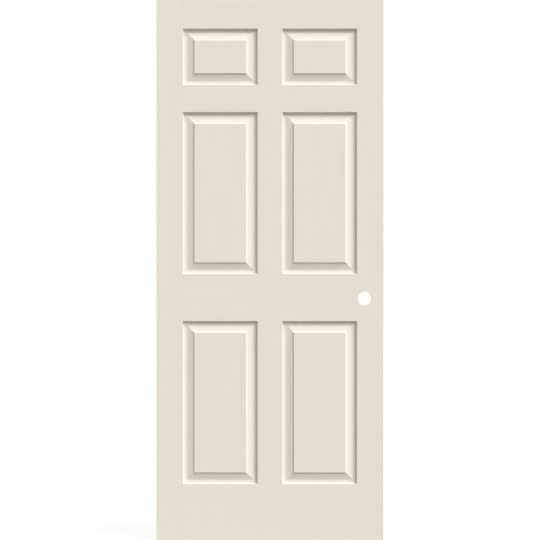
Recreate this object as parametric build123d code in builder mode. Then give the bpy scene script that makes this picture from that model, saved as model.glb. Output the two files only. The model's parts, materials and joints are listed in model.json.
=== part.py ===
from build123d import *
from math import cos, radians
import os

# A moulded panel door slab, bored for a knob lock and ready to hang. Two pressed fibreboard skins are
# glued over a softwood frame. A block backs the lock, a paper honeycomb holds the skins apart, and
# staples hold the corners of the frame. Lengths are in millimetres. X runs towards the lock edge,
# Y from the front face to the back, and Z up from the middle of the slab's bottom edge.

# Slab
door_width = 854.0
door_height = 2032.0
door_thickness = 35.0
arris_radius = 0.8

# Flat parts of the face, between and around the panels
face_stile_width = 99.7
mullion_width = 93.4
top_rail_height = 108.7
top_panel_height = 210.6
frieze_rail_height = 103.4
lock_rail_height = 177.9
bottom_panel_height = 612.1
bottom_rail_height = 211.2

# Skin and the moulding pressed into it round each panel, from the edge of the opening inwards
skin_thickness = 3.0
riser_run = 2.0
riser_depth = 10.2
riser_wall = 2.2
bed_run = 11.8
groove_depth = 11.2
bevel_run = 25.8
step_run = 3.6
step_height = 4.2
field_depth = 0.2
groove_radius = 16.0
press_radius = 1.2
seam_margin = 4.0

# Timbers of the frame
timber_stile_width = 32.0
timber_top_height = 32.0
timber_bottom_height = 45.0

# Staples across the joints of the frame
staple_crown = 25.4
staple_leg = 16.0
staple_wire = 1.6
staple_stagger = 10.0

# Lock bores and the block behind them
lock_bore_diameter = 54.0
lock_backset = 70.0
lock_drop = 5.0
latch_bore_diameter = 22.2
lock_block_width = 120.0
lock_block_margin = 6.0

# Paper honeycomb
cell_width = 155.0
core_wall = 1.2
core_clearance = 0.4
cell_sides = 6
cell_turn = 30

# Cuts run past the surface that they open
overrun = 5.0

# Layout of the six panels
panel_width = (door_width - 2 * face_stile_width - mullion_width) / 2
column_x = (mullion_width + panel_width) / 2
lock_rail_bottom = bottom_rail_height + bottom_panel_height
lock_rail_top = lock_rail_bottom + lock_rail_height
top_panel_bottom = door_height - top_rail_height - top_panel_height
middle_panel_height = top_panel_bottom - frieze_rail_height - lock_rail_top
rows = [
    (bottom_rail_height + bottom_panel_height / 2, bottom_panel_height),
    (lock_rail_top + middle_panel_height / 2, middle_panel_height),
    (top_panel_bottom + top_panel_height / 2, top_panel_height),
]
panels = [(x, z, height) for z, height in rows for x in (-column_x, column_x)]

# Sizes and places that several pieces share
frame_thickness = door_thickness - 2 * skin_thickness
frame_inner_x = door_width / 2 - timber_stile_width
frame_inner_top = door_height - timber_top_height
groove_run = riser_run + bed_run
moulding_width = groove_run + bevel_run + step_run
field_inset = moulding_width + seam_margin
lock_x = door_width / 2 - lock_backset
lock_z = (lock_rail_bottom + lock_rail_top) / 2 - lock_drop
lock_block_x = frame_inner_x - lock_block_width / 2
lock_block_z = (lock_rail_bottom + lock_rail_top) / 2
lock_block_height = lock_rail_height - 2 * lock_block_margin
front_face = Plane.XZ.offset(door_thickness / 2)
core_face = Plane.XZ.offset(frame_thickness / 2)
lock_edge = Plane.YZ.offset(door_width / 2)


def opening_path(x, z, height):
    """The edge of a panel's opening, from the middle of its top run."""
    half_width = panel_width / 2
    half_height = height / 2
    with BuildLine(front_face) as path:
        Polyline(
            (x, z + half_height),
            (x + half_width, z + half_height),
            (x + half_width, z - half_height),
            (x - half_width, z - half_height),
            (x - half_width, z + half_height),
            close=True,
        )
    return path.wire()


def section_plane(x, z, height):
    """The plane across the top run of a panel's moulding: x into the panel, y into the door."""
    top = (x, -door_thickness / 2, z + height / 2)
    return Plane(origin=top, x_dir=(0, 0, -1), z_dir=(1, 0, 0))


def pressed_line(thickness, wall):
    """The moulding's corners on the skin's face, or moved to its back, as runs into the panel and depths."""
    return [
        (-seam_margin, thickness),
        (-wall, thickness),
        (riser_run - wall, riser_depth + thickness),
        (groove_run, groove_depth + thickness),
        (groove_run + bevel_run, field_depth + step_height + thickness),
        (moulding_width, field_depth + thickness),
        (field_inset, field_depth + thickness),
    ]


def moulding_section(x, z, height):
    """The pressed skin, cut across the moulding. The corners of the riser are rounded on the face alone."""
    face_line = pressed_line(0, 0)
    back_line = pressed_line(skin_thickness, riser_wall)
    with BuildSketch(section_plane(x, z, height)) as section:
        with BuildLine():
            Polyline(*face_line, *reversed(back_line), close=True)
        make_face()
        # In order across the section: two ends, four corners of the riser, two of the groove, four of the
        # step, and two ends
        corners = section.vertices().sort_by(Axis.X)
        fillet(corners[6:8], radius=groove_radius)
        corners = section.vertices().sort_by(Axis.X)
        riser_face = corners[2:6].sort_by(Axis.Y)[::2]
        fillet(riser_face + corners[-6:-2], radius=press_radius)
    return section.sketch


def crush_section(x, z, height):
    """What the moulding takes out of the core, cut across: a channel with a ridged bed."""
    bed = skin_thickness + core_clearance
    mouth = skin_thickness - overrun
    with BuildSketch(section_plane(x, z, height)) as section:
        with BuildLine():
            Polyline(
                (-seam_margin, mouth),
                (-seam_margin, riser_depth + bed),
                (groove_run, groove_depth + bed),
                (field_inset, field_depth + step_height + bed),
                (field_inset, mouth),
                close=True,
            )
        make_face()
    return section.sketch


os.makedirs("parts", exist_ok=True)

# Front skin: a flat sheet, the mouldings, and the raised field inside each moulding
with BuildPart() as front_skin:
    with BuildSketch(front_face):
        with Locations((0, door_height / 2)):
            Rectangle(door_width, door_height)
        for x, z, height in panels:
            with Locations((x, z)):
                Rectangle(panel_width + 2 * seam_margin, height + 2 * seam_margin, mode=Mode.SUBTRACT)
        with Locations((lock_x, lock_z)):
            Circle(lock_bore_diameter / 2, mode=Mode.SUBTRACT)
    extrude(amount=-skin_thickness)
    for x, z, height in panels:
        sweep(moulding_section(x, z, height), path=opening_path(x, z, height), transition=Transition.RIGHT)
    with BuildSketch(front_face.offset(-field_depth)):
        for x, z, height in panels:
            with Locations((x, z)):
                Rectangle(panel_width - 2 * field_inset, height - 2 * field_inset)
    extrude(amount=-skin_thickness)
    upright_groups = front_skin.edges().filter_by(Axis.Z).group_by(Axis.X)
    arrises = [group.sort_by(Axis.Y)[0] for group in (upright_groups[0], upright_groups[-1])]
    fillet(arrises, radius=arris_radius)
front_skin.part.label = "front_skin"
export_step(front_skin.part, "parts/front_skin.step")

# Back skin: the same pressing turned to face the other way
with BuildPart() as back_skin:
    mirror(front_skin.part, about=Plane.XZ)
back_skin.part.label = "back_skin"
export_step(back_skin.part, "parts/back_skin.step")

# Staples: one across each joint of the frame on each face, the two faces' legs side by side
with BuildPart() as frame_staples:
    for joint_z in (timber_bottom_height / 2, door_height - timber_top_height / 2):
        for side, inwards in ((-1, Align.MIN), (1, Align.MAX)):
            with BuildSketch(Plane.XY.offset(joint_z - side * staple_stagger / 2)):
                with Locations(
                    (-frame_inner_x, side * frame_thickness / 2),
                    (frame_inner_x, side * frame_thickness / 2),
                ):
                    Rectangle(staple_crown, staple_leg, align=(Align.CENTER, inwards))
                with Locations(
                    (-frame_inner_x, side * (frame_thickness / 2 - staple_wire)),
                    (frame_inner_x, side * (frame_thickness / 2 - staple_wire)),
                ):
                    Rectangle(
                        staple_crown - 2 * staple_wire,
                        staple_leg,
                        align=(Align.CENTER, inwards),
                        mode=Mode.SUBTRACT,
                    )
            extrude(amount=staple_wire / 2, both=True)
frame_staples.part.label = "frame_staples"
export_step(frame_staples.part, "parts/frame_staples.step")

# Hinge stile: the full-height timber that takes the hinge screws
with BuildPart() as hinge_stile:
    with BuildSketch(Plane.XY):
        with Locations((-frame_inner_x, 0)):
            Rectangle(timber_stile_width, frame_thickness, align=(Align.MAX, Align.CENTER))
    extrude(amount=door_height)
    add(frame_staples.part, mode=Mode.SUBTRACT)
hinge_stile.part.label = "hinge_stile"
export_step(hinge_stile.part, "parts/hinge_stile.step")

# Lock stile: the full-height timber that the latch bore passes through
with BuildPart() as lock_stile:
    with BuildSketch(Plane.XY):
        with Locations((frame_inner_x, 0)):
            Rectangle(timber_stile_width, frame_thickness, align=(Align.MIN, Align.CENTER))
    extrude(amount=door_height)
    with BuildSketch(lock_edge):
        with Locations((0, lock_z)):
            Circle(latch_bore_diameter / 2)
    extrude(amount=-lock_backset, mode=Mode.SUBTRACT)
    add(frame_staples.part, mode=Mode.SUBTRACT)
lock_stile.part.label = "lock_stile"
export_step(lock_stile.part, "parts/lock_stile.step")

# Top and bottom rails: the timbers between the stiles
with BuildPart() as top_rail:
    with BuildSketch(Plane.XY.offset(frame_inner_top)):
        Rectangle(2 * frame_inner_x, frame_thickness)
    extrude(amount=timber_top_height)
    add(frame_staples.part, mode=Mode.SUBTRACT)
top_rail.part.label = "top_rail"
export_step(top_rail.part, "parts/top_rail.step")

with BuildPart() as bottom_rail:
    with BuildSketch(Plane.XY):
        Rectangle(2 * frame_inner_x, frame_thickness)
    extrude(amount=timber_bottom_height)
    add(frame_staples.part, mode=Mode.SUBTRACT)
bottom_rail.part.label = "bottom_rail"
export_step(bottom_rail.part, "parts/bottom_rail.step")

# Lock block: solid timber behind the lock rail, with the bore across and the latch bore into it
with BuildPart() as lock_block:
    with BuildSketch(core_face):
        with Locations((lock_block_x, lock_block_z)):
            Rectangle(lock_block_width, lock_block_height)
        with Locations((lock_x, lock_z)):
            Circle(lock_bore_diameter / 2, mode=Mode.SUBTRACT)
    extrude(amount=-frame_thickness)
    with BuildSketch(lock_edge):
        with Locations((0, lock_z)):
            Circle(latch_bore_diameter / 2)
    extrude(amount=-lock_backset, mode=Mode.SUBTRACT)
lock_block.part.label = "lock_block"
export_step(lock_block.part, "parts/lock_block.step")

# Honeycomb: rows of whole cells, each row set half a cell along, left out where the lock block is
cell_radius = cell_width / 2 / cos(radians(cell_turn))
row_pitch = cell_width * cos(radians(cell_turn))
core_height = frame_inner_top - timber_bottom_height
core_middle_z = (frame_inner_top + timber_bottom_height) / 2
column_count = int(2 * frame_inner_x // cell_width)
row_count = int((core_height - 2 * cell_radius) // row_pitch) + 1
cell_centres = []
for row in range(row_count):
    z = core_middle_z + (row - (row_count - 1) / 2) * row_pitch
    columns = column_count - row % 2
    beside_block = abs(z - lock_block_z) < lock_block_height / 2 + cell_radius + core_wall
    for column in range(columns):
        x = (column - (columns - 1) / 2) * cell_width
        reach = x + (cell_width + core_wall) / 2
        if not (beside_block and reach > frame_inner_x - lock_block_width):
            cell_centres.append((x, z))

# The room that the pressed panels take from one side of the core
with BuildPart() as pressed_room:
    for x, z, height in panels:
        sweep(crush_section(x, z, height), path=opening_path(x, z, height), transition=Transition.RIGHT)
    with BuildSketch(core_face.offset(overrun)):
        for x, z, height in panels:
            with Locations((x, z)):
                Rectangle(panel_width - 2 * field_inset, height - 2 * field_inset)
    extrude(amount=-overrun - field_depth)

with BuildPart() as honeycomb_core:
    with BuildSketch(core_face):
        with Locations(*cell_centres):
            RegularPolygon((cell_width + core_wall) / 2, cell_sides, major_radius=False, rotation=cell_turn)
        with Locations(*cell_centres):
            RegularPolygon(
                (cell_width - core_wall) / 2,
                cell_sides,
                major_radius=False,
                rotation=cell_turn,
                mode=Mode.SUBTRACT,
            )
    extrude(amount=-frame_thickness)
    add(pressed_room.part, mode=Mode.SUBTRACT)
    mirror(pressed_room.part, about=Plane.XZ, mode=Mode.SUBTRACT)
honeycomb_core.part.label = "honeycomb_core"
export_step(honeycomb_core.part, "parts/honeycomb_core.step")
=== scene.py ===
import json
import math

import bmesh
import bpy
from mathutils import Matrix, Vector


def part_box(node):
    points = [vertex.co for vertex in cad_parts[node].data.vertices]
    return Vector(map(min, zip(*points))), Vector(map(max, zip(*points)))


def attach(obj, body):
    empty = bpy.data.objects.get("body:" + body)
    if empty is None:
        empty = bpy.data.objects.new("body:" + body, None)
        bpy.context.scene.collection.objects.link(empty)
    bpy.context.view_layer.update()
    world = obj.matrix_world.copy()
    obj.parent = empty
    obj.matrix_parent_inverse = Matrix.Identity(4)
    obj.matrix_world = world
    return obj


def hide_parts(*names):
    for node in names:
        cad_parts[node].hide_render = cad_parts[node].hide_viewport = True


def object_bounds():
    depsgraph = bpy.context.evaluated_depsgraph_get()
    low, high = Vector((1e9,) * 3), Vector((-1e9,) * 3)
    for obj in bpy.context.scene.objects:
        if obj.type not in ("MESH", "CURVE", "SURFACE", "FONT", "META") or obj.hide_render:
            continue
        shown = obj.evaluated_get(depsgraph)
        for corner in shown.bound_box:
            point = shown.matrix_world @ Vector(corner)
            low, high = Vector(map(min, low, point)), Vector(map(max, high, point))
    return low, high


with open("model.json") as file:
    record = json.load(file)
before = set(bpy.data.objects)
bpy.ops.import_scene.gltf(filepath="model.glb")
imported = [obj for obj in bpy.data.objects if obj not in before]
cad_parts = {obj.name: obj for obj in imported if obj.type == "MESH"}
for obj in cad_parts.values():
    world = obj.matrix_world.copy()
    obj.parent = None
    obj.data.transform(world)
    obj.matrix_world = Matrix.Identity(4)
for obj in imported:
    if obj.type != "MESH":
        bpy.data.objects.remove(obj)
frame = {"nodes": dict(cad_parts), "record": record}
cad_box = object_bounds()

# The looks of a moulded six-panel door slab: the two pressed skins with their mouldings, the timbers with
# round bores, and the materials. Lengths are in metres. X runs towards the lock edge, Y from the front
# face to the back, and Z up from the middle of the slab's bottom edge.

# Sizes that the frame gives
MILLIMETRE = 0.001
half_width = cad_box[1].x
half_thickness = cad_box[1].y
door_height = cad_box[1].z
frame_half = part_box("hinge_stile")[1].y
skin_thickness = half_thickness - frame_half
mounts = {mount["name"]: mount for mount in frame["record"]["mounts"]}
lock_x, lock_y, lock_z = mounts["lock_bore"]["pos_m"]
lock_radius = mounts["lock_bore"]["dims"]["r_mm"] * MILLIMETRE
latch_radius = mounts["latch_bore"]["dims"]["r_mm"] * MILLIMETRE

# Flat parts of the face, between and around the panels
face_stile_width = 0.0997
mullion_width = 0.0934
top_rail_height = 0.1087
top_panel_height = 0.2106
frieze_rail_height = 0.1034
lock_rail_height = 0.1779
bottom_panel_height = 0.6121
bottom_rail_height = 0.2112
arris_radius = 0.0008

# Moulding pressed round each panel, from the edge of the opening inwards
riser_run = 0.0020
riser_depth = 0.0102
riser_wall = 0.0022
bed_run = 0.0118
groove_depth = 0.0112
bevel_run = 0.0258
step_run = 0.0036
step_height = 0.0042
field_depth = 0.0002
groove_radius = 0.016
press_radius = 0.0012
seam_margin = 0.004
groove_run = riser_run + bed_run
moulding_width = groove_run + bevel_run + step_run

# How finely curves are cut
ARC_STEPS = 12
ARRIS_STEPS = 5
BORE_STEPS = 128


def round_corner(before, corner, after, radius):
    """The rounded corner between two straight runs of a section, as points with their outward normals."""
    arriving = (corner - before).normalized()
    leaving = (after - corner).normalized()
    half_turn = arriving.angle(leaving) / 2
    centre = corner + (leaving - arriving).normalized() * (radius / math.cos(half_turn))
    convex = arriving.x * leaving.y > arriving.y * leaving.x
    samples = []
    for step in range(ARC_STEPS + 1):
        way = arriving.slerp(leaving, step / ARC_STEPS)
        outwards = Vector((way.y, -way.x))
        samples.append((centre + outwards * (radius if convex else -radius), outwards))
    return samples


def moulding_samples(thickness, wall):
    """The moulding on a skin's face, or moved to its back: runs into the panel and depths, with normals."""
    corners = (
        (-seam_margin, 0),
        (-wall, 0),
        (riser_run - wall, riser_depth),
        (groove_run, groove_depth),
        (groove_run + bevel_run, field_depth + step_height),
        (moulding_width, field_depth),
        (moulding_width + seam_margin, field_depth),
    )
    moved = [Vector((run, depth + thickness)) for run, depth in corners]
    radii = (press_radius, press_radius, groove_radius, press_radius, press_radius)
    samples = []
    for index, radius in enumerate(radii):
        samples += round_corner(*moved[index:index + 3], radius)
    return samples


# The riser ends with the second rounded corner of the moulding
RISER_SAMPLES = 2 * ARC_STEPS + 1
edge_line = half_width - arris_radius


def face_lines(lead):
    """The upright and level lines between the flat parts of the face, moved in by the moulding's lead."""
    stile_line = half_width - face_stile_width + lead
    mullion_line = mullion_width / 2 - lead
    columns = [-edge_line, -stile_line, -mullion_line, mullion_line, stile_line, edge_line]
    lock_rail_bottom = bottom_rail_height + bottom_panel_height
    top_panel_bottom = door_height - top_rail_height - top_panel_height
    rows = [
        0,
        bottom_rail_height - lead,
        lock_rail_bottom + lead,
        lock_rail_bottom + lock_rail_height - lead,
        top_panel_bottom - frieze_rail_height + lead,
        top_panel_bottom - lead,
        door_height - top_rail_height + lead,
        door_height,
    ]
    return columns, rows


# Columns and rows of the face that are asked for by number, sides of the door, and a skin's materials
LEFT_STILE, RIGHT_STILE = 0, 4
LOCK_RAIL = 2
FRONT, BACK = -1, 1
PAINTED, RAW = 0, 1

# Where each member's grain is taken from in the pattern, across and along the grain. The heart of the
# pattern, with its arches, is at the origin.
STILE_GRAIN = 0.62
MULLION_GRAIN = 0.41
RAIL_GRAIN = 0.85
RISER_GRAIN = 0.33
GRAIN_SHIFT = 0.137
FIELD_HEART = 0.021
FIELD_DROP = 0.16

# Distances to the two joints at a member's ends, where it has none close by
NO_JOINT = (1.0, 1.0)

# Places on the face that agree to this many digits are one point
KEY_DIGITS = 7


class Sheet:
    """One side of a skin as faces over the door's plane, with what each corner needs."""

    def __init__(self, thickness, wall, rounding):
        self.base = thickness
        self.rounding = rounding
        self.moulding = moulding_samples(thickness, wall)
        self.lead = -self.moulding[0][0].x
        self.columns, self.rows = face_lines(self.lead)
        self.points = []
        self.places = {}
        self.faces = []

    def point(self, x, z, depth):
        key = (round(x, KEY_DIGITS), round(z, KEY_DIGITS))
        if key not in self.places:
            self.places[key] = len(self.points)
            self.points.append((x, z, depth))
        return self.places[key]

    def face(self, corners, normals, grain, joint):
        """Adds a face, counter-clockwise from the front. Normals are (x, z, outwards)."""
        found = [self.point(*corner) for corner in corners]
        self.faces.append((found, normals, grain, joint))


def rectangle(x0, x1, z0, z1, depth):
    """Four corners at one depth, counter-clockwise from the lower left."""
    return [(x0, z0, depth), (x1, z0, depth), (x1, z1, depth), (x0, z1, depth)]


FLAT = (0.0, 0.0, 1.0)
CORNER_COUNT = 4
LOWER_LEFT = math.radians(225)


def add_member(sheet, corners, column, row):
    """A flat face of a stile, a rail or a mullion, with the grain along it."""
    if column in (LEFT_STILE, RIGHT_STILE):
        shift = STILE_GRAIN + GRAIN_SHIFT * column
        grain = [(x + shift, z) for x, z, _ in corners]
        joint = [NO_JOINT for _ in corners]
    elif row % 2 == 0:
        shift = RAIL_GRAIN + GRAIN_SHIFT * row
        left, right = sheet.columns[1], sheet.columns[-2]
        grain = [(z + shift, x) for x, z, _ in corners]
        joint = [(x - left, right - x) for x, _, _ in corners]
    else:
        shift = MULLION_GRAIN + GRAIN_SHIFT * row
        bottom, top = sheet.rows[row:row + 2]
        grain = [(x + shift, z) for x, z, _ in corners]
        joint = [(z - bottom, top - z) for _, z, _ in corners]
    sheet.face(corners, [FLAT] * len(corners), grain, joint)


def add_bored_member(sheet, corners):
    """The stretch of the lock stile round the bore: four faces between its corners and the circle."""
    quarter = BORE_STEPS // CORNER_COUNT
    for side in range(CORNER_COUNT):
        first = LOWER_LEFT + math.tau * side / CORNER_COUNT
        circle = []
        for step in range(quarter + 1):
            angle = first + math.tau * step / BORE_STEPS
            x = lock_x + lock_radius * math.cos(angle)
            circle.append((x, lock_z + lock_radius * math.sin(angle), sheet.base))
        outer = [corners[side], corners[(side + 1) % CORNER_COUNT]]
        add_member(sheet, outer + circle[::-1], RIGHT_STILE, LOCK_RAIL)


def add_panel(sheet, number, x0, x1, z0, z1):
    """A panel inside its opening: the moulding as four mitred runs, and the raised field."""
    heart = (x0 + x1) / 2 + FIELD_HEART * (1 - number % 3)
    foot = z0 - FIELD_DROP - GRAIN_SHIFT * (number % 2)
    # Each run's two corners, and the way from its edge into the panel
    runs = ((0, 1, (0, 1)), (1, 2, (-1, 0)), (2, 3, (0, -1)), (3, 0, (1, 0)))
    for index in range(len(sheet.moulding) - 1):
        (outer, outer_normal), (inner, inner_normal) = sheet.moulding[index:index + 2]
        outer_ring = rectangle(x0 + outer.x, x1 - outer.x, z0 + outer.x, z1 - outer.x, outer.y)
        inner_ring = rectangle(x0 + inner.x, x1 - inner.x, z0 + inner.x, z1 - inner.x, inner.y)
        for first, second, (way_x, way_z) in runs:
            corners = [outer_ring[first], outer_ring[second], inner_ring[second], inner_ring[first]]
            normals = [
                (way_x * normal.x, way_z * normal.x, -normal.y)
                for normal in (outer_normal, outer_normal, inner_normal, inner_normal)
            ]
            if index >= RISER_SAMPLES:
                grain = [(x - heart, z - foot) for x, z, _ in corners]
            elif way_x:
                grain = [(x + depth + RISER_GRAIN, z) for x, z, depth in corners]
            else:
                grain = [(z + depth + RISER_GRAIN, x) for x, z, depth in corners]
            sheet.face(corners, normals, grain, [NO_JOINT] * len(corners))
    field, _ = sheet.moulding[-1]
    corners = rectangle(x0 + field.x, x1 - field.x, z0 + field.x, z1 - field.x, field.y)
    grain = [(x - heart, z - foot) for x, z, _ in corners]
    sheet.face(corners, [FLAT] * len(corners), grain, [NO_JOINT] * len(corners))


def add_arris(sheet, side, z0, z1):
    """The long edge of the skin, on the side of X that side gives, as far as the sheet rounds it."""
    for step in range(ARRIS_STEPS):
        strip = []
        for end in (step, step + 1):
            angle = math.pi / 2 * end / ARRIS_STEPS
            x = side * (edge_line + arris_radius * math.sin(angle))
            depth = sheet.base + sheet.rounding * (1 - math.cos(angle))
            normal = (side * math.sin(angle), 0.0, math.cos(angle)) if sheet.rounding else FLAT
            strip.append((x, depth, normal))
        if side < 0:
            strip.reverse()
        (x_left, depth_left, left), (x_right, depth_right, right) = strip
        corners = [
            (x_left, z0, depth_left),
            (x_right, z0, depth_right),
            (x_right, z1, depth_right),
            (x_left, z1, depth_left),
        ]
        column = RIGHT_STILE if side > 0 else LEFT_STILE
        shift = STILE_GRAIN + GRAIN_SHIFT * column
        grain = [(x + side * depth + shift, z) for x, z, depth in corners]
        sheet.face(corners, [left, right, right, left], grain, [NO_JOINT] * len(corners))


def skin_sheet(thickness, wall, rounding):
    """One whole side of a skin, seen from the skin's own front."""
    sheet = Sheet(thickness, wall, rounding)
    lead = sheet.lead
    panel_number = 0
    for row in range(len(sheet.rows) - 1):
        z0, z1 = sheet.rows[row:row + 2]
        add_arris(sheet, -1, z0, z1)
        add_arris(sheet, 1, z0, z1)
        for column in range(len(sheet.columns) - 1):
            x0, x1 = sheet.columns[column:column + 2]
            corners = rectangle(x0, x1, z0, z1, sheet.base)
            if row % 2 and column % 2:
                add_panel(sheet, panel_number, x0 + lead, x1 - lead, z0 + lead, z1 - lead)
                panel_number += 1
            elif column == RIGHT_STILE and row == LOCK_RAIL:
                add_bored_member(sheet, corners)
            else:
                add_member(sheet, corners, column, row)
    return sheet


def rim_edges(sheet):
    """The edges of the sheet that only one face has, in that face's direction."""
    seen = {}
    for found, _, _, _ in sheet.faces:
        for first, second in zip(found, found[1:] + found[:1]):
            seen[(first, second)] = True
    return [edge for edge in seen if (edge[1], edge[0]) not in seen]


# How near to the slab's side a point of a long edge is
RIM_MARGIN = 1e-6


def skin_walls(face):
    """The walls from the rims of a skin's face to its back. Those on the long edges are painted."""
    count = len(face.points)
    walls = []
    for first, second in rim_edges(face):
        (x0, z0, _), (x1, z1, _) = face.points[first], face.points[second]
        on_edge = min(abs(x0), abs(x1)) > half_width - RIM_MARGIN
        on_end = z0 == z1 and z0 in (face.rows[0], face.rows[-1])
        if on_edge or on_end:
            start = end = Vector((z1 - z0, x0 - x1)).normalized().to_tuple()
        else:
            start = ((lock_x - x0) / lock_radius, (lock_z - z0) / lock_radius)
            end = ((lock_x - x1) / lock_radius, (lock_z - z1) / lock_radius)
        corners = (
            (second, end, (x1, z1)),
            (first, start, (x0, z0)),
            (first + count, start, (x0 + skin_thickness, z0)),
            (second + count, end, (x1 + skin_thickness, z1)),
        )
        wall = [(index, (way[0], 0.0, way[1]), grain, NO_JOINT) for index, way, grain in corners]
        walls.append((wall, PAINTED if on_edge else RAW))
    return walls


def skin_mesh(name, face, back, side):
    """A closed skin: its face, its back, and walls round every rim."""
    vertices = [
        (x, side * (half_thickness - depth), z)
        for sheet in (face, back)
        for x, z, depth in sheet.points
    ]
    count = len(face.points)
    loops = skin_walls(face)
    for found, normals, grain, joint in face.faces:
        turned = [(x, side * out, z) for x, z, out in normals]
        loops.append((list(zip(found, turned, grain, joint)), PAINTED))
    for found, normals, grain, joint in back.faces:
        moved = [index + count for index in found]
        turned = [(-x, -side * out, -z) for x, z, out in normals]
        loops.append((list(zip(moved, turned, grain, joint))[::-1], RAW))
    if side == BACK:
        loops = [(corners[::-1], kind) for corners, kind in loops]
    mesh = bpy.data.meshes.new(name)
    mesh.from_pydata(vertices, [], [[corner[0] for corner in corners] for corners, _ in loops])
    mesh.polygons.foreach_set("material_index", [kind for _, kind in loops])
    mesh.polygons.foreach_set("use_smooth", [True] * len(loops))
    every_corner = [corner for corners, _ in loops for corner in corners]
    grain_map = mesh.uv_layers.new(name="grain")
    grain_map.uv.foreach_set("vector", [value for corner in every_corner for value in corner[2]])
    joint_map = mesh.uv_layers.new(name="joint")
    joint_map.uv.foreach_set("vector", [value for corner in every_corner for value in corner[3]])
    mesh.normals_split_custom_set([corner[1] for corner in every_corner])
    return mesh


def add_piece(name, mesh, replaced, materials):
    """Puts a mesh in the scene as the piece that stands for a CAD node."""
    for material in materials:
        mesh.materials.append(material)
    piece = bpy.data.objects.new(name, mesh)
    bpy.context.scene.collection.objects.link(piece)
    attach(piece, "root")
    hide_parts(replaced)


# Timbers cut from plain blocks: where a turn of the surface is an edge, and where it is still flat
SHARP_ANGLE = math.radians(30)
FLAT_ANGLE = math.radians(0.1)


def box_mesh(name, low, high):
    corners = [(x, y, z) for x in (low.x, high.x) for y in (low.y, high.y) for z in (low.z, high.z)]
    faces = [(0, 1, 3, 2), (4, 6, 7, 5), (0, 4, 5, 1), (2, 3, 7, 6), (0, 2, 6, 4), (1, 5, 7, 3)]
    mesh = bpy.data.meshes.new(name)
    mesh.from_pydata(corners, [], faces)
    return mesh


def rod_mesh(name, start, end, radius):
    """A round rod from start to end, which lie on a line along X or Y."""
    along_x = start.x != end.x
    vertices = []
    for middle in (start, end):
        for step in range(BORE_STEPS):
            angle = math.tau * step / BORE_STEPS
            side, up = radius * math.cos(angle), radius * math.sin(angle)
            vertices.append(middle + Vector((0, side, up) if along_x else (-side, 0, up)))
    ring = range(BORE_STEPS)
    faces = [
        (step, (step + 1) % BORE_STEPS, (step + 1) % BORE_STEPS + BORE_STEPS, step + BORE_STEPS)
        for step in ring
    ]
    faces += [tuple(reversed(ring)), tuple(step + BORE_STEPS for step in ring)]
    mesh = bpy.data.meshes.new(name)
    mesh.from_pydata(vertices, [], faces)
    return mesh


def cutter_rod(name, start, end, radius):
    rod = bpy.data.objects.new(name, rod_mesh(name, start, end, radius))
    bpy.context.scene.collection.objects.link(rod)
    return rod


def merge_flats(mesh):
    """Joins the faces of the mesh that lie in one plane, and drops the points along straight edges."""
    shape = bmesh.new()
    shape.from_mesh(mesh)
    bmesh.ops.dissolve_limit(shape, angle_limit=FLAT_ANGLE, verts=shape.verts, edges=shape.edges)
    shape.to_mesh(mesh)
    shape.free()


def carved(mesh, cutters):
    """The mesh with each cutter taken out of it, and with smooth round walls."""
    block = bpy.data.objects.new(mesh.name + "_blank", mesh)
    bpy.context.scene.collection.objects.link(block)
    for cutter in cutters:
        cut = block.modifiers.new(cutter.name, "BOOLEAN")
        cut.operation = "DIFFERENCE"
        cut.solver = "EXACT"
        cut.object = cutter
    bpy.context.view_layer.update()
    depsgraph = bpy.context.evaluated_depsgraph_get()
    result = bpy.data.meshes.new_from_object(block.evaluated_get(depsgraph))
    merge_flats(result)
    result.materials.clear()
    result.polygons.foreach_set("material_index", [0] * len(result.polygons))
    result.polygons.foreach_set("use_smooth", [True] * len(result.polygons))
    result.set_sharp_from_angle(angle=SHARP_ANGLE)
    bpy.data.objects.remove(block)
    return result


# The mix node's sockets by number: its factor, and its two inputs and result as values and as colours
MIX_FACTOR = 0
MIX_VALUES, VALUE_RESULT = (2, 3), 0
MIX_COLOURS, COLOUR_RESULT = (6, 7), 2

# Ranges from none to full, and from full to none
UNIT = (0.0, 1.0)
FADING = (1.0, 0.0)


def node(tree, kind, settings=None, inputs=None):
    """A shader node with its settings, and with each input set or linked."""
    made = tree.nodes.new(kind)
    for name, value in (settings or {}).items():
        setattr(made, name, value)
    for name, value in (inputs or {}).items():
        if isinstance(value, bpy.types.NodeSocket):
            tree.links.new(value, made.inputs[name])
        else:
            made.inputs[name].default_value = value
    return made


def maths(tree, operation, *values):
    made = node(tree, "ShaderNodeMath", {"operation": operation}, dict(enumerate(values)))
    return made.outputs[0]


def combined(tree, *values):
    return node(tree, "ShaderNodeCombineXYZ", {}, dict(enumerate(values))).outputs[0]


def separated(tree, vector):
    return node(tree, "ShaderNodeSeparateXYZ", {}, {0: vector}).outputs


def mix_colours(tree, factor, first, second):
    inputs = dict(zip((MIX_FACTOR, *MIX_COLOURS), (factor, first, second)))
    return node(tree, "ShaderNodeMix", {"data_type": "RGBA"}, inputs).outputs[COLOUR_RESULT]


def mix_values(tree, factor, first, second):
    inputs = dict(zip((MIX_FACTOR, *MIX_VALUES), (factor, first, second)))
    return node(tree, "ShaderNodeMix", {}, inputs).outputs[VALUE_RESULT]


def ranged(tree, value, span, result=UNIT):
    """A value's place in its span, moved to the same place in the result and held within it."""
    (low, high), (to_low, to_high) = span, result
    inputs = {"Value": value, "From Min": low, "From Max": high, "To Min": to_low, "To Max": to_high}
    return node(tree, "ShaderNodeMapRange", {}, inputs).outputs["Result"]


def shared(tree, first, second, share):
    """The first value by its share, with the second by the rest."""
    return maths(tree, "MULTIPLY_ADD", first, share, maths(tree, "MULTIPLY", second, 1 - share))


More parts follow.
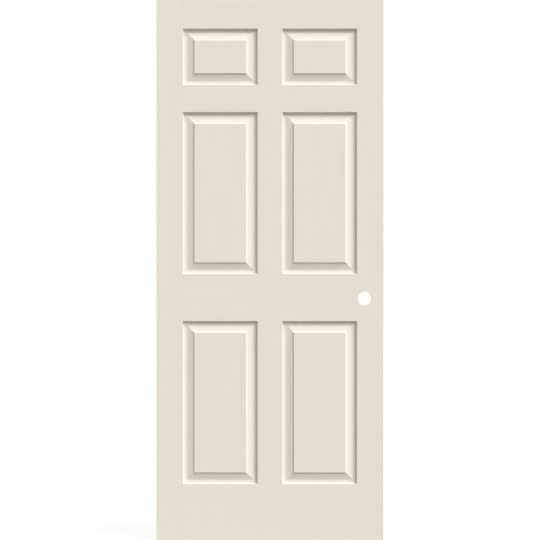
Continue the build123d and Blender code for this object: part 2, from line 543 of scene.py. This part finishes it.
def noise(tree, place, waves, detail, roughness):
    """Noise with so many waves to the metre along each axis of place."""
    scaled = node(tree, "ShaderNodeMapping", {}, {"Vector": place, "Scale": waves}).outputs[0]
    inputs = {"Vector": scaled, "Scale": 1.0, "Detail": detail, "Roughness": roughness}
    return node(tree, "ShaderNodeTexNoise", {}, inputs).outputs["Fac"]


def rings(tree, place, inputs):
    """Growth rings round the Z axis of place, each from 0 in its spring to 1 at the end of its summer."""
    settings = {"wave_type": "RINGS", "rings_direction": "Z", "wave_profile": "SAW"}
    return node(tree, "ShaderNodeTexWave", settings, {"Vector": place, **inputs}).outputs["Fac"]


def bumped(tree, height, strength, distance):
    inputs = {"Strength": strength, "Distance": distance, "Height": height}
    return node(tree, "ShaderNodeBump", {}, inputs).outputs[0]


def object_place(tree):
    return node(tree, "ShaderNodeTexCoord").outputs["Object"]


def new_material(name):
    """An empty material with its Principled shader on the output."""
    material = bpy.data.materials.new(name)
    material.use_nodes = True
    tree = material.node_tree
    tree.nodes.clear()
    shader = node(tree, "ShaderNodeBsdfPrincipled")
    node(tree, "ShaderNodeOutputMaterial", {}, {"Surface": shader.outputs[0]})
    return material, tree, shader


def link(tree, shader, colour, rough, normal):
    for name, value in (("Base Color", colour), ("Roughness", rough), ("Normal", normal)):
        tree.links.new(value, shader.inputs[name])


# Patterns of noise below are waves to the metre along each axis, levels of detail, and how much the finer
# levels count. Spans say where a pattern starts to show and where it shows in full.
MIDDLE_SPAN = (0.3, 0.7)

# Ivory paint: its tone, the darker tones in the lines of the grain and in seams, its low sheen, its relief,
# and the film that it makes on the stiles' long edges
IVORY = (0.800, 0.754, 0.640, 1.0)
IVORY_LINE = (0.765, 0.716, 0.598, 1.0)
IVORY_SEAM = (0.46, 0.42, 0.34, 1.0)
LINE_SPAN = (0.2, 0.9)
PAINT_SHINE = 0.15
PAINT_ROUGHNESS = (0.62, 0.72)
PAINT_RELIEF = 0.00012
PAINT_RELIEF_STRENGTH = 0.35
PAINT_FILM = 0.0003

# Seams in the paint: between the members of the face, and between a skin and a stile
JOINT_WIDTH = 0.0005
JOINT_TONE = 0.7
SEAM_WIDTH = 0.00035
SEAM_TONE = 0.8
SEAM_DEPTH = 2.0

# Grain pressed into the paint: short pores, long streaks and the arches of flat-sawn rings
PORES = ((1150.0, 22.0, 1.0), 2.0, 0.55)
PORE_SPAN = (0.55, 0.72)
PORE_TONE = 0.35
STREAKS = ((150.0, 2.2, 1.0), 3.0, 0.5)
STREAK_TONE = 0.7
ARCHES = {
    "Scale": 24.0,
    "Distortion": 1.6,
    "Detail": 2.0,
    "Detail Scale": 0.6,
    "Detail Roughness": 0.5,
}
ARCH_STRETCH = (1.0, 0.055, 1.0)
ARCH_POWER = 3.0
ARCH_TONE = 0.3
ARCH_RELIEF = 0.5


def paint_pattern(tree, place):
    """The grain pressed into the paint: how dark it is and how high, from 0 to 1, over (across, along)."""
    ticks = ranged(tree, noise(tree, place, *PORES), PORE_SPAN)
    streaks = noise(tree, place, *STREAKS)
    stretched = node(tree, "ShaderNodeMapping", {}, {"Vector": place, "Scale": ARCH_STRETCH}).outputs[0]
    arches = maths(tree, "POWER", rings(tree, stretched, ARCHES), ARCH_POWER)
    tone = maths(tree, "MULTIPLY_ADD", arches, ARCH_TONE, maths(tree, "MULTIPLY", streaks, STREAK_TONE))
    dark = maths(tree, "MULTIPLY_ADD", ticks, PORE_TONE, tone)
    relief = maths(tree, "MULTIPLY_ADD", arches, ARCH_RELIEF, ticks)
    return dark, maths(tree, "SUBTRACT", 1.0, relief)


def paint_look(tree, place, seam, seam_tone):
    """Paint over (across, along), sunk and dark where seam is 1: its colour, roughness and height."""
    dark, height = paint_pattern(tree, place)
    colour = mix_colours(tree, ranged(tree, dark, LINE_SPAN), IVORY, IVORY_LINE)
    colour = mix_colours(tree, maths(tree, "MULTIPLY", seam, seam_tone), colour, IVORY_SEAM)
    rough = ranged(tree, dark, UNIT, PAINT_ROUGHNESS)
    return colour, rough, maths(tree, "MULTIPLY_ADD", seam, -SEAM_DEPTH, height)


def paint_material():
    """Low-sheen ivory paint on pressed fibreboard, with its faint grain and the fine lines of the joints."""
    material, tree, shader = new_material("ivory_paint")
    shader.inputs["Specular IOR Level"].default_value = PAINT_SHINE
    grain = node(tree, "ShaderNodeUVMap", {"uv_map": "grain"}).outputs[0]
    joint = node(tree, "ShaderNodeUVMap", {"uv_map": "joint"}).outputs[0]
    to_start, to_end, _ = separated(tree, joint)
    nearest = maths(tree, "MINIMUM", to_start, to_end)
    line = ranged(tree, nearest, (0.0, JOINT_WIDTH), FADING)
    colour, rough, height = paint_look(tree, grain, line, JOINT_TONE)
    link(tree, shader, colour, rough, bumped(tree, height, PAINT_RELIEF_STRENGTH, PAINT_RELIEF))
    return material


# Raw fibreboard at the cut edges of the skins: its tones, its specks and its thin layers
FIBRE_DARK = (0.125, 0.066, 0.030, 1.0)
FIBRE_LIGHT = (0.285, 0.170, 0.088, 1.0)
FIBRE_SPAN = (0.32, 0.68)
FIBRE_ROUGHNESS = (0.82, 0.95)
FIBRE_RELIEF = 0.0002
FIBRE_RELIEF_STRENGTH = 0.5
SPECKS = ((2600.0, 2600.0, 2600.0), 3.0, 0.6)
LAYERS = ((180.0, 3800.0, 180.0), 2.0, 0.5)
LAYER_SHARE = 0.5


def fibre_material():
    """Brown pressed fibreboard where a skin was cut, speckled and laid in thin layers."""
    material, tree, shader = new_material("raw_fibreboard")
    place = object_place(tree)
    specks = noise(tree, place, *SPECKS)
    mixed = shared(tree, noise(tree, place, *LAYERS), specks, LAYER_SHARE)
    colour = mix_colours(tree, ranged(tree, mixed, FIBRE_SPAN), FIBRE_DARK, FIBRE_LIGHT)
    rough = ranged(tree, specks, MIDDLE_SPAN, FIBRE_ROUGHNESS)
    link(tree, shader, colour, rough, bumped(tree, mixed, FIBRE_RELIEF_STRENGTH, FIBRE_RELIEF))
    return material


# Softwood of the frame: its spring and summer growth, and its rings, which sway and lean along the log. The
# heart of each timber's log lies beside it, at a place across the timber and through the door. The wave node
# puts its rings WAVE_PERIOD apart at a scale of 1.
SPRING_WOOD = (0.74, 0.53, 0.29, 1.0)
SUMMER_WOOD = (0.50, 0.28, 0.105, 1.0)
WOOD_SHINE = 0.2
WOOD_ROUGHNESS = (0.62, 0.8)
WOOD_RELIEF = 0.00015
WOOD_RELIEF_STRENGTH = 0.4
WAVE_PERIOD = math.tau / 20
RING_SPACING = 0.0042
WOOD_RINGS = {"Scale": WAVE_PERIOD / RING_SPACING, "Distortion": 0.6, "Detail": 1.0}
GROWTH_POWER = 2.2
GROWTH_RELIEF = 0.5
DRIFT = ((9.0, 9.0, 1.3), 2.0, 0.5)
RING_SWAY = 0.012
LOG_LEAN = 0.004
LOG_STRETCH = 0.04
WOOD_FIBRES = ((1500.0, 1500.0, 28.0), 2.0, 0.55)
WOOD_FIBRE_TONE = (-0.5, 0.5)
WOOD_FIBRE_SHARE = 0.3
STILE_HEART = (-0.061, -0.038)
RAIL_HEART = 0.04


def softwood_look(tree, across, through, along, heart):
    """Softwood with its rings round the length: its colour, roughness and height."""
    place = combined(tree, across, through, along)
    sway = ranged(tree, noise(tree, place, *DRIFT), UNIT, (-RING_SWAY, RING_SWAY))
    leaning = maths(tree, "MULTIPLY_ADD", along, LOG_LEAN, through)
    from_heart = combined(
        tree,
        maths(tree, "SUBTRACT", maths(tree, "ADD", across, sway), heart[0]),
        maths(tree, "SUBTRACT", leaning, heart[1]),
        maths(tree, "MULTIPLY", along, LOG_STRETCH),
    )
    growth = maths(tree, "POWER", rings(tree, from_heart, WOOD_RINGS), GROWTH_POWER)
    fibres = noise(tree, place, *WOOD_FIBRES)
    fibre_tone = ranged(tree, fibres, MIDDLE_SPAN, WOOD_FIBRE_TONE)
    shade = maths(tree, "MULTIPLY_ADD", fibre_tone, WOOD_FIBRE_SHARE, growth)
    colour = mix_colours(tree, ranged(tree, shade, UNIT), SPRING_WOOD, SUMMER_WOOD)
    rough = ranged(tree, fibres, MIDDLE_SPAN, WOOD_ROUGHNESS)
    return colour, rough, maths(tree, "MULTIPLY_ADD", growth, GROWTH_RELIEF, fibres)


def stile_material():
    """Softwood of the stiles, with ivory paint on the door's long edge."""
    material, tree, shader = new_material("stile_softwood")
    shader.inputs["Specular IOR Level"].default_value = WOOD_SHINE
    across, through, along = separated(tree, object_place(tree))
    wood = softwood_look(tree, across, through, along, STILE_HEART)
    on_edge = maths(tree, "GREATER_THAN", maths(tree, "ABSOLUTE", across), half_width - PAINT_FILM)
    to_seam = maths(tree, "SUBTRACT", frame_half, maths(tree, "ABSOLUTE", through))
    seam = ranged(tree, to_seam, (0.0, SEAM_WIDTH), FADING)
    paint = paint_look(tree, combined(tree, through, along), seam, SEAM_TONE)
    colour = mix_colours(tree, on_edge, wood[0], paint[0])
    rough = mix_values(tree, on_edge, wood[1], paint[1])
    height = mix_values(tree, on_edge, wood[2], paint[2])
    link(tree, shader, colour, rough, bumped(tree, height, PAINT_RELIEF_STRENGTH, PAINT_RELIEF))
    return material


def bare_wood_material(name, upright, heart):
    """Bare softwood of a timber that runs up the door or along it."""
    material, tree, shader = new_material(name)
    shader.inputs["Specular IOR Level"].default_value = WOOD_SHINE
    x, y, z = separated(tree, object_place(tree))
    across, along = (x, z) if upright else (z, x)
    colour, rough, height = softwood_look(tree, across, y, along, heart)
    link(tree, shader, colour, rough, bumped(tree, height, WOOD_RELIEF_STRENGTH, WOOD_RELIEF))
    return material


# Kraft paper of the honeycomb: its tones, its clouds and its fibres
KRAFT_DARK = (0.36, 0.205, 0.098, 1.0)
KRAFT_LIGHT = (0.52, 0.325, 0.165, 1.0)
KRAFT_SPAN = (0.35, 0.65)
KRAFT_ROUGHNESS = (0.78, 0.9)
KRAFT_RELIEF = 0.0001
KRAFT_RELIEF_STRENGTH = 0.35
CLOUDS = ((90.0, 90.0, 90.0), 3.0, 0.6)
KRAFT_FIBRES = ((1700.0, 420.0, 1700.0), 3.0, 0.65)
KRAFT_FIBRE_SHARE = 0.6


def kraft_material():
    """Brown kraft paper with short fibres and a cloudy thickness."""
    material, tree, shader = new_material("kraft_paper")
    place = object_place(tree)
    clouds = noise(tree, place, *CLOUDS)
    fibres = noise(tree, place, *KRAFT_FIBRES)
    mixed = shared(tree, fibres, clouds, KRAFT_FIBRE_SHARE)
    colour = mix_colours(tree, ranged(tree, mixed, KRAFT_SPAN), KRAFT_DARK, KRAFT_LIGHT)
    rough = ranged(tree, clouds, MIDDLE_SPAN, KRAFT_ROUGHNESS)
    link(tree, shader, colour, rough, bumped(tree, fibres, KRAFT_RELIEF_STRENGTH, KRAFT_RELIEF))
    return material


# Galvanised wire of the staples: its bright and dull zinc, and the marks of its drawing
WIRE_BRIGHT = (0.66, 0.66, 0.67, 1.0)
WIRE_DULL = (0.48, 0.48, 0.50, 1.0)
WIRE_SPAN = (0.35, 0.65)
WIRE_ROUGHNESS = (0.28, 0.42)
WIRE_RELIEF = 0.00005
WIRE_RELIEF_STRENGTH = 0.2
DRAW_MARKS = ((240.0, 240.0, 6500.0), 2.0, 0.5)
ZINC = ((700.0, 700.0, 700.0), 3.0, 0.6)


def wire_material():
    """Drawn galvanised wire, with fine marks along it and dull patches of zinc."""
    material, tree, shader = new_material("staple_wire")
    shader.inputs["Metallic"].default_value = 1.0
    place = object_place(tree)
    marks = noise(tree, place, *DRAW_MARKS)
    zinc = noise(tree, place, *ZINC)
    colour = mix_colours(tree, ranged(tree, zinc, WIRE_SPAN), WIRE_BRIGHT, WIRE_DULL)
    rough = ranged(tree, zinc, MIDDLE_SPAN, WIRE_ROUGHNESS)
    link(tree, shader, colour, rough, bumped(tree, marks, WIRE_RELIEF_STRENGTH, WIRE_RELIEF))
    return material


# Skins
skin_materials = (paint_material(), fibre_material())
face_sheet = skin_sheet(0.0, 0.0, arris_radius)
back_sheet = skin_sheet(skin_thickness, riser_wall, 0.0)
for name, replaced, side in (("skin_front", "front_skin", FRONT), ("skin_back", "back_skin", BACK)):
    mesh = skin_mesh(name, face_sheet, back_sheet, side)
    add_piece(name, mesh, replaced, skin_materials)

# Lock stile and lock block, with round bores
cut_overrun = 0.005
stile_wood = stile_material()
block_wood = bare_wood_material("block_softwood", True, STILE_HEART)
lock_rod = cutter_rod(
    "lock_rod",
    Vector((lock_x, -frame_half - cut_overrun, lock_z)),
    Vector((lock_x, frame_half + cut_overrun, lock_z)),
    lock_radius,
)
latch_rod = cutter_rod(
    "latch_rod",
    Vector((lock_x, lock_y, lock_z)),
    Vector((half_width + cut_overrun, lock_y, lock_z)),
    latch_radius,
)
staples = frame["nodes"]["frame_staples"]
lock_stile = carved(box_mesh("stile_lock", *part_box("lock_stile")), (latch_rod, staples))
add_piece("stile_lock", lock_stile, "lock_stile", (stile_wood,))
lock_block = carved(box_mesh("block_lock", *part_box("lock_block")), (lock_rod, latch_rod))
add_piece("block_lock", lock_block, "lock_block", (block_wood,))
for rod in (lock_rod, latch_rod):
    bpy.data.objects.remove(rod)

# Pieces whose solids show as they are
rail_through = STILE_HEART[1]
carried_over = {
    "hinge_stile": stile_wood,
    "top_rail": bare_wood_material("top_softwood", False, (door_height - RAIL_HEART, rail_through)),
    "bottom_rail": bare_wood_material("bottom_softwood", False, (RAIL_HEART, rail_through)),
    "honeycomb_core": kraft_material(),
    "frame_staples": wire_material(),
}
for name, material in carried_over.items():
    frame["nodes"][name].material_slots[0].material = material

# Studio: a pale floor, a soft key from the upper right of the front, a wide fill from the front, a soft lamp
# from behind on the left, and a faint even light from all round
FLOOR_SIZE = 60.0
FLOOR_PALE = (0.20, 0.20, 0.20, 1.0)
FLOOR_SHADED = (0.16, 0.16, 0.16, 1.0)
FLOOR_GLOW = 0.87
FILL_STRENGTH = 0.16
KEY_STRENGTH = 4.2
KEY_ANGLE = math.radians(40)
KEY_FROM = (1.4, -1.0, 1.65)
FRONT_STRENGTH = 1.25
FRONT_ANGLE = math.radians(120)
FRONT_FROM = (-0.2, -1.0, 0.0)
BACK_STRENGTH = 4.2
BACK_ANGLE = math.radians(40)
BACK_FROM = (-1.0, 1.0, 0.15)
WHITE = (1.0, 1.0, 1.0, 1.0)


def seen_directly(tree):
    """1 for rays that show the surface itself or its reflection, and 0 for rays that carry its light."""
    path = node(tree, "ShaderNodeLightPath").outputs
    shiny = maths(tree, "MAXIMUM", path["Is Glossy Ray"], path["Is Transmission Ray"])
    return maths(tree, "MAXIMUM", path["Is Camera Ray"], shiny)


def floor_material():
    """A pale floor that shows nearly white, with the object's shadow on it."""
    material = bpy.data.materials.new("pale_floor")
    material.use_nodes = True
    material.cycles.emission_sampling = "NONE"
    tree = material.node_tree
    tree.nodes.clear()
    plain = node(tree, "ShaderNodeBsdfDiffuse", {}, {"Color": FLOOR_PALE}).outputs[0]
    glow = node(tree, "ShaderNodeEmission", {}, {"Color": WHITE, "Strength": FLOOR_GLOW}).outputs[0]
    shaded = node(tree, "ShaderNodeBsdfDiffuse", {}, {"Color": FLOOR_SHADED}).outputs[0]
    bright = node(tree, "ShaderNodeAddShader", {}, {0: glow, 1: shaded}).outputs[0]
    surface = node(tree, "ShaderNodeMixShader", {}, {0: seen_directly(tree), 1: plain, 2: bright}).outputs[0]
    node(tree, "ShaderNodeOutputMaterial", {}, {"Surface": surface})
    return material


def add_floor():
    half = FLOOR_SIZE / 2
    corners = [(-half, -half, 0), (half, -half, 0), (half, half, 0), (-half, half, 0)]
    mesh = bpy.data.meshes.new("floor")
    mesh.from_pydata(corners, [], [(0, 1, 2, 3)])
    mesh.materials.append(floor_material())
    floor = bpy.data.objects.new("floor", mesh)
    bpy.context.scene.collection.objects.link(floor)


def add_sun(name, strength, angle, come_from):
    lamp = bpy.data.lights.new(name, "SUN")
    lamp.energy = strength
    lamp.angle = angle
    sun = bpy.data.objects.new(name, lamp)
    sun.rotation_mode = "QUATERNION"
    sun.rotation_quaternion = Vector(come_from).to_track_quat("Z", "Y")
    bpy.context.scene.collection.objects.link(sun)


def add_world():
    world = bpy.data.worlds.new("studio")
    world.use_nodes = True
    tree = world.node_tree
    tree.nodes.clear()
    strength = mix_values(tree, seen_directly(tree), FILL_STRENGTH, 1.0)
    sky = node(tree, "ShaderNodeBackground", {}, {"Color": WHITE, "Strength": strength}).outputs[0]
    node(tree, "ShaderNodeOutputWorld", {}, {"Surface": sky})
    bpy.context.scene.world = world


add_floor()
add_sun("key", KEY_STRENGTH, KEY_ANGLE, KEY_FROM)
add_sun("front_fill", FRONT_STRENGTH, FRONT_ANGLE, FRONT_FROM)
add_sun("back_light", BACK_STRENGTH, BACK_ANGLE, BACK_FROM)
add_world()

# Camera: square on to the front, with the slab from the top of the picture to its bottom
LENS = 135.0
SENSOR = 36.0
SHOWN_HEIGHT = 2.0309
CAMERA_HEIGHT = 1.0158
LEVEL = math.radians(90)
camera_data = bpy.data.cameras.new("camera")
camera_data.lens = LENS
camera_data.sensor_width = SENSOR
camera = bpy.data.objects.new("camera", camera_data)
camera.location = (0, -half_thickness - SHOWN_HEIGHT * LENS / SENSOR, CAMERA_HEIGHT)
camera.rotation_euler = (LEVEL, 0, 0)
bpy.context.scene.collection.objects.link(camera)
bpy.context.scene.camera = camera
bpy.context.scene.view_settings.view_transform = "Standard"
